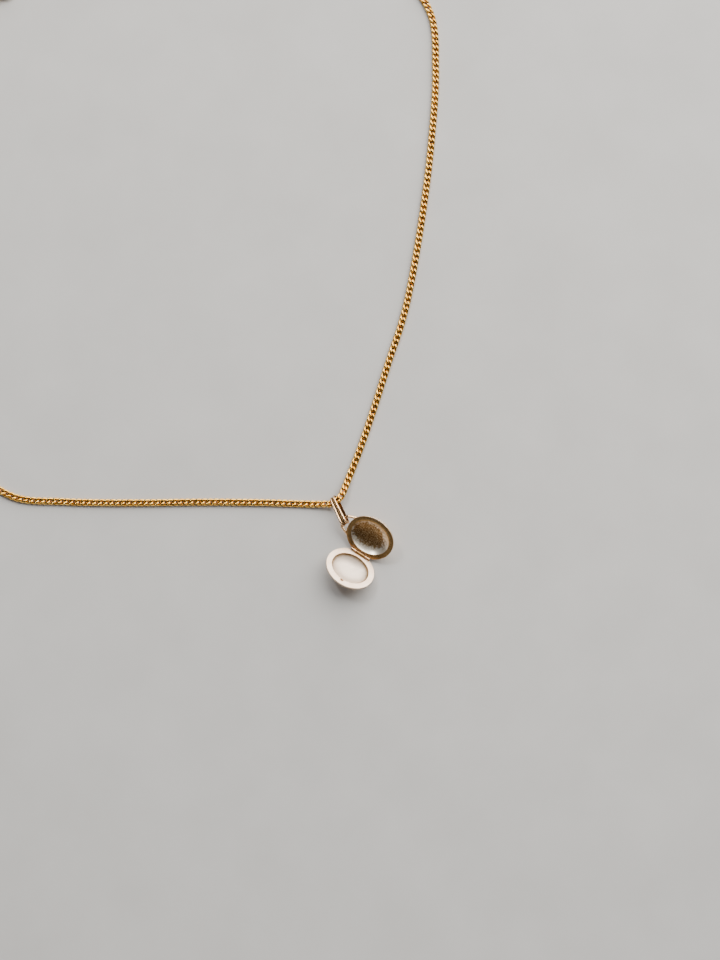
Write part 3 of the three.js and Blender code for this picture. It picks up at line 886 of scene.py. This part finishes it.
def bow():
    """A bent wire loop whose feet are soldered under the end of the back half's rim."""
    bar = -(HALF_LENGTH + BOW_REACH)
    half_bar = BOW_BAR_SPAN / 2
    half_foot = BOW_FOOT_SPAN / 2
    edge = HALF_LENGTH * math.sqrt(1 - (half_foot / HALF_WIDTH) ** 2)
    foot = -edge + BOW_TUCK
    corners = [(foot, -half_foot), (bar, -half_bar), (bar, half_bar), (foot, half_foot)]
    path = rounded_path([(x, HINGE_TO_CENTRE + y, -BOW_BELOW) for x, y in corners], BOW_CORNER)
    return sweep(path, circle(BOW_WIRE / 2, 24))


def strap_depth(share):
    """How thick the strap is across its width: two rounded ridges with a grooved band between."""
    edge = (abs(share) - RIDGE_AT) / RIDGE_HALF
    ridge = math.sqrt(max(0.0, 1 - edge * edge))
    band = BAND_RISE * math.sqrt(max(0.0, 1 - (share / BAND_HALF) ** 2))
    return BAIL_STRAP * (GROOVE_FLOOR + RIDGE_RISE * max(ridge, band))


def belt_line(arc_steps=28, run_steps=14):
    """Points and outward directions round the strap's inside."""
    lean = math.asin((BAIL_TOP_EYE - BAIL_BOTTOM_EYE) / BAIL_LENGTH)
    arcs = (
        (0.0, BAIL_TOP_EYE, math.pi / 2 - lean, 3 * math.pi / 2 + lean),
        (BAIL_LENGTH, BAIL_BOTTOM_EYE, -math.pi / 2 + lean, math.pi / 2 - lean),
    )
    ends = []
    for centre, radius, start, end in arcs:
        arc = []
        for i in range(arc_steps + 1):
            angle = start + (end - start) * i / arc_steps
            normal = Vector((math.cos(angle), 0, math.sin(angle)))
            arc.append((Vector((centre, 0, 0)) + normal * radius, normal))
        ends.append(arc)
    line = []
    for arc, following in ((ends[0], ends[1]), (ends[1], ends[0])):
        line += arc
        for i in range(1, run_steps):
            t = i / run_steps
            line.append((arc[-1][0].lerp(following[0][0], t), arc[-1][1]))
    return line


def strap_half_width(along):
    """Half the strap's width, at a distance along it from the chain's eye."""
    share = min(max(along / BAIL_LENGTH, 0), 1)
    return (BAIL_TOP_WIDTH + (BAIL_BOTTOM_WIDTH - BAIL_TOP_WIDTH) * share) / 2


def bail(columns=48):
    rings = []
    for point, normal in belt_line():
        half = strap_half_width(point.x)
        across = [2 * i / columns - 1 for i in range(columns + 1)]
        outside = [point + normal * strap_depth(v) + Vector((0, v * half, 0)) for v in across]
        inside = [point + Vector((0, v * half, 0)) for v in (1, 0.5, 0, -0.5, -1)]
        rings.append(outside + inside)
    return loft(rings, closed_path=True)


def paint_groove_shade(strap):
    """Gives the faces between the two ridges, outside and inside, the painted shade."""
    strap.data.materials.append(GROOVE_SHADE)
    to_strap = (Matrix.Scale(MM, 4) @ bail_matrix()).inverted()
    for face in strap.data.polygons:
        centre = to_strap @ face.center
        if abs(centre.y) / strap_half_width(centre.x) < RIDGE_AT - RIDGE_HALF + GROOVE_MARGIN:
            face.material_index = 1


def finish_inside(piece, half, material):
    """Gives the faces that look out of the open side another finish than the domed outside."""
    piece.data.materials.append(material)
    to_half = half.to_3x3().inverted()
    for face in piece.data.polygons:
        if (to_half @ face.normal).z > 0.02:
            face.material_index = 1


def on_back(name, mesh, material, stands_for):
    return placed(name, mesh, BACK, material, "locket_back", stands_for)


def on_front(name, mesh, material, stands_for):
    return placed(name, mesh, FRONT, material, "locket_front", stands_for)


# these three follow the half they are on
# WELL: the pale wall is painted highlight and the dark floor painted dark reflection
WELL = speckled_well_painted_light("back_well_speckled_painted_light", BACK, (0.98, 0.88, 0.72), (0.15, 0.085, 0.03), (0.82, 0.70, 0.48))
# FRONT_WELL: its dark edge colour is painted shade under the rim
FRONT_WELL = edge_shaded_well("pale_gold_well", FRONT, (0.98, 0.82, 0.67), (0.36, 0.22, 0.09))
PALE = polished_gold(
    "pale_gold_satin", (0.98, 0.78, 0.61), (0.94, 0.70, 0.50), 0.34, 0.48,
    patch=1.6, scratches=0.002, metal=0.70, spot_at=FRONT @ PIP_AT * MM,
)

middle_end = MIDDLE_KNUCKLE / 2
outer_start = middle_end + KNUCKLE_GAP
outer_end = outer_start + OUTER_KNUCKLE

back_dish = on_back("locket_back_shell", shell(BACK_RIM_WIDTH), ROSE, "back_shell")
finish_inside(back_dish, BACK, WELL)
on_back("locket_back_rim", rim_plate(BACK_RIM_WIDTH, False), DARK_REFLECTION_ROSE, "back_rim")
on_back("locket_bow", bow(), ROSE, "bow")
# the lip's pale colour is a painted highlight
on_back("locket_snap_lip", snap_lip(), LIP_HIGHLIGHT_ROSE, "snap_lip")
on_back("barrel_upper", knuckle(-outer_end, -outer_start), ROSE, "hinge_knuckle_upper")
on_back("barrel_lower", knuckle(outer_start, outer_end), ROSE, "hinge_knuckle_lower")
on_back("hinge_rod", hinge_pin(), ROSE, "hinge_pin")
front_dish = on_front("locket_front_shell", shell(FRONT_RIM_WIDTH), PALE, "front_shell")
finish_inside(front_dish, FRONT, FRONT_WELL)
on_front("locket_front_rim", rim_plate(FRONT_RIM_WIDTH, True), PALE, "front_rim")
# the middle barrel takes the darker rose as a painted reflection of the dark back rim
on_front("barrel_middle", knuckle(-middle_end, middle_end), DARK_REFLECTION_ROSE, "hinge_knuckle_front")
on_front("locket_catch_pip", catch_pip(), PIP_BROWN, "catch_pip")
strap = placed("bail_strap", bail(), bail_matrix(), ROSE, "bail", "bail")
# the faces between the ridges get a dark tone that is painted shade
paint_groove_shade(strap)

# ---- the clasp ----
TUBE_START = MOUTH_AT + MOUTH / 2
TUBE_END = 360 + MOUTH_AT - MOUTH / 2
SLOT_START = TUBE_START + SLOT_INSET
KNOB_ROOM = math.degrees((KNOB_RADIUS + RUNNING_GAP) / RING_RADIUS)
KNOB_ANGLE = SLOT_START + KNOB_ROOM
SLOT_END = KNOB_ANGLE + BOLT_TRAVEL + KNOB_ROOM
TAIL_END = TUBE_START + BOLT_TAIL
SEAT_START = TAIL_END + BOLT_TRAVEL + SPRING_SOLID
clasp_heading = math.atan2(LEFT_ARM[-1][1] - LEFT_ARM[-2][1], LEFT_ARM[-1][0] - LEFT_ARM[-2][0])
clasp_centre = Vector(JOINTS["clasp_trigger"]["pos_m"]) / MM


def flat_at(centre):
    matrix = Matrix.Rotation(clasp_heading, 4, "Z")
    matrix.translation = centre
    return matrix


def middle_of(node):
    low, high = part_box(node)
    return (low + high) / 2 / MM


def standing_at(centre):
    matrix = Matrix.Rotation(clasp_heading, 4, "Z") @ Matrix.Rotation(math.pi / 2, 4, "X")
    matrix.translation = centre
    return matrix


def arc_points(radius, start, end, steps):
    angles = [math.radians(start + (end - start) * i / steps) for i in range(steps + 1)]
    return [(radius * math.cos(a), radius * math.sin(a), 0) for a in angles]


def arc_rod(radius, start, end, steps, sides=24):
    return sweep(arc_points(RING_RADIUS, start, end, steps), circle(radius, sides))


def clasp_tube(steps=96, sides=24):
    outside = arc_rod(TUBE_RADIUS, TUBE_START, TUBE_END, steps, sides)
    bore = arc_rod(BORE_RADIUS, TUBE_START - 2, TUBE_END + 2, steps, sides)
    tube = combined(outside, bore, "DIFFERENCE")
    seat = arc_rod((TUBE_RADIUS + BORE_RADIUS) / 2, SEAT_START, SEAT_START + SEAT_LENGTH, 4, sides)
    tube = combined(tube, seat, "UNION")
    slot_half = KNOB_RADIUS + RUNNING_GAP
    inner = arc_points(RING_RADIUS, SLOT_START, SLOT_END, 16)
    outer = arc_points(RING_RADIUS + 2 * TUBE_RADIUS, SLOT_START, SLOT_END, 16)
    rings = []
    for (x0, y0, _), (x1, y1, _) in zip(inner, outer):
        corners = ((x0, y0, -slot_half), (x1, y1, -slot_half), (x1, y1, slot_half), (x0, y0, slot_half))
        rings.append([Vector(corner) for corner in corners])
    return combined(tube, loft(rings), "DIFFERENCE")


def clasp_bolt():
    rod = arc_rod(BOLT_RADIUS, TUBE_START - MOUTH - BOLT_NOSE, TAIL_END, 48)
    head = 0.08
    profile = [
        (0, 0), (KNOB_RADIUS, 0), (KNOB_RADIUS, KNOB_HEIGHT - head),
        (KNOB_RADIUS - head, KNOB_HEIGHT), (0, KNOB_HEIGHT),
    ]
    knob = lathe(profile, 24)
    knob.transform(Matrix.Translation((RING_RADIUS, 0, 0)) @ Matrix.Rotation(math.pi / 2, 4, "Y"))
    knob.transform(Matrix.Rotation(math.radians(KNOB_ANGLE), 4, "Z"))
    return combined(rod, knob, "UNION")


def clasp_spring(steps_per_turn=20):
    start = math.radians(TAIL_END + SPRING_END_GAP)
    end = math.radians(SEAT_START - SPRING_END_GAP)
    coil = BORE_RADIUS - SPRING_WIRE - 2 * RUNNING_GAP
    count = SPRING_TURNS * steps_per_turn
    path = []
    for i in range(count + 1):
        angle = start + (end - start) * i / count
        turn = math.tau * SPRING_TURNS * i / count
        radius = RING_RADIUS + coil * math.cos(turn)
        path.append((radius * math.cos(angle), radius * math.sin(angle), coil * math.sin(turn)))
    return sweep(path, circle(SPRING_WIRE, 8))


def wire_ring(radius, segments=64):
    path = arc_points(radius, 0, 360 - 360 / segments, segments - 1)
    return sweep(path, circle(RING_WIRE, 16), closed=True)


def jump_ring(name, node):
    place = standing_at(middle_of(node))
    return placed(name, wire_ring(JUMP_RADIUS), place, YELLOW, "chain", node)


clasp_place = flat_at(clasp_centre)
loop_place = flat_at(middle_of("clasp_loop"))
loop = wire_ring(LOOP_RADIUS)
tube = clasp_tube()
bolt = clasp_bolt()
coil = clasp_spring()
left_fittings = [
    jump_ring("jump_ring_left", "end_ring_left"),
    placed("clasp_solder_loop", loop, loop_place, YELLOW, "chain", "clasp_loop"),
    placed("clasp_tube", tube, clasp_place, YELLOW, "chain", "clasp_ring"),
    placed("clasp_trigger_bolt", bolt, clasp_place, YELLOW, "clasp_bolt", "clasp_bolt"),
    placed("clasp_coil", coil, clasp_place, SPRING_STEEL, "chain", "clasp_spring"),
]

jump_ring("jump_ring_right", "end_ring_right")


# ---- floor and light ----
def plain_floor(reach=3.0):
    corners = [(-reach, -reach, 0), (reach, -reach, 0), (reach, reach, 0), (-reach, reach, 0)]
    mesh = mesh_from(corners, [(0, 1, 2, 3)])
    mesh.materials.append(floor_finish())
    link_to_scene(bpy.data.objects.new("floor", mesh))


def softbox(name, direction, distance, size, watts, colour=(1, 1, 1)):
    data = bpy.data.lights.new(name, "AREA")
    data.shape = "RECTANGLE"
    data.size, data.size_y = size
    data.energy = watts
    data.color = colour
    lamp = link_to_scene(bpy.data.objects.new(name, data))
    towards = Vector(direction).normalized()
    lamp.location = towards * distance
    lamp.rotation_euler = towards.to_track_quat("Z", "Y").to_euler()


def dim_room():
    world = bpy.data.worlds.new("room")
    world.use_nodes = True
    background = world.node_tree.nodes["Background"]
    background.inputs["Color"].default_value = (0.80, 0.84, 0.92, 1)
    background.inputs["Strength"].default_value = 0.13
    bpy.context.scene.world = world


plain_floor()
softbox("window", (0.42, 0.74, 0.58), 0.9, (1.5, 1.15), 30, (1.0, 0.97, 0.93))
softbox("card", (-0.60, -0.75, 0.14), 0.8, (0.9, 0.15), 1.3, (1.0, 0.98, 0.95))
softbox("overhead", (-0.45, 0.6, 0.9), 1.7, (0.22, 0.22), 7, (0.95, 0.97, 1.0))
dim_room()
